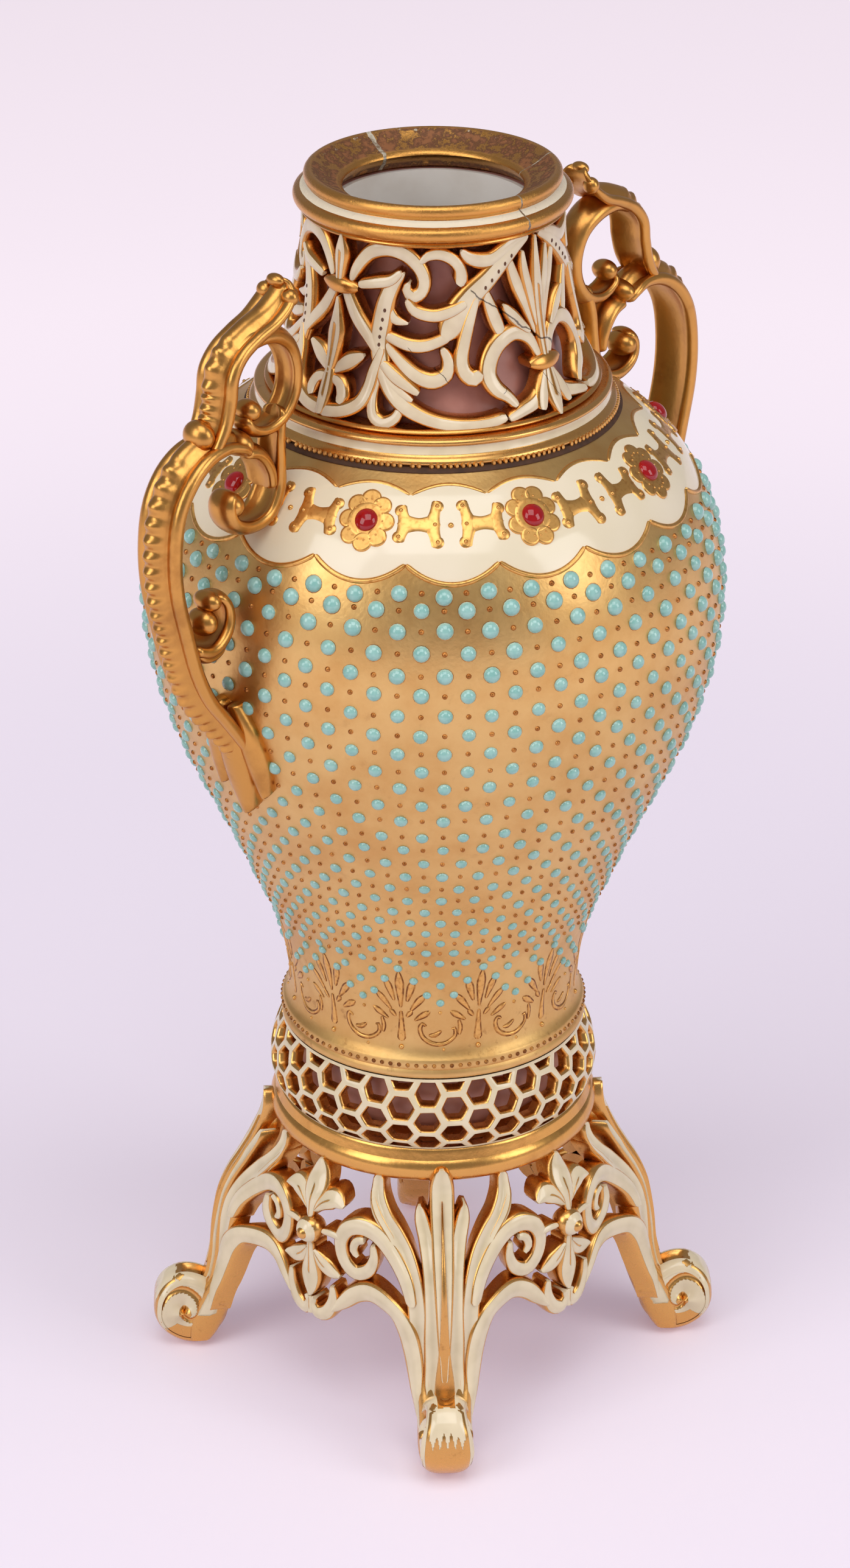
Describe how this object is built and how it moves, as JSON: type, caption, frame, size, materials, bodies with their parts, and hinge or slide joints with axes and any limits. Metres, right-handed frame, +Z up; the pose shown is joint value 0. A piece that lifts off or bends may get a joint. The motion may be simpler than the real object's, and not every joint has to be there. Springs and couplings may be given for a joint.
{
  "type": "baluster vase",
  "caption": "Two-handled jewelled porcelain baluster vase with a pierced double-walled neck, a honeycomb foot band and an openwork stand on scroll feet.",
  "frame": {"origin": "on the table, at the vase's axis", "axes": "+Z up the axis, X through the two handles, the four legs on the diagonals"},
  "size_m": [0.1388, 0.1032, 0.2334],
  "materials": {
    "gilt": "bright burnished gold over porcelain",
    "satin_gold": "satin orange gold over porcelain, with enamel beads",
    "worn_gold": "gilt rim with a dark worn seat",
    "ivory": "glossy ivory glaze with gilt edges",
    "blush": "dusty pink glaze",
    "ruby": "glossy ruby enamel"
  },
  "bodies": {
    "root": {"rim_ring": "worn_gold", "neck_collar": "ivory", "neck_foot_ring": "gilt", "neck_liner": "blush", "body_shell": "satin_gold", "honeycomb_band": "ivory", "foot_bowl": "blush", "stand_ring": "gilt", "handle_right": "gilt", "handle_left": "gilt", "leg_1": "ivory", "leg_2": "ivory", "leg_3": "ivory", "leg_4": "ivory", "panel_1": "ivory", "panel_2": "ivory", "panel_3": "ivory", "panel_4": "ivory", "cabochon_1": "ruby", "cabochon_2": "ruby", "cabochon_3": "ruby", "cabochon_4": "ruby", "cabochon_5": "ruby", "cabochon_6": "ruby", "cabochon_7": "ruby", "cabochon_8": "ruby", "cabochon_9": "ruby"}
  },
  "joints": []
}
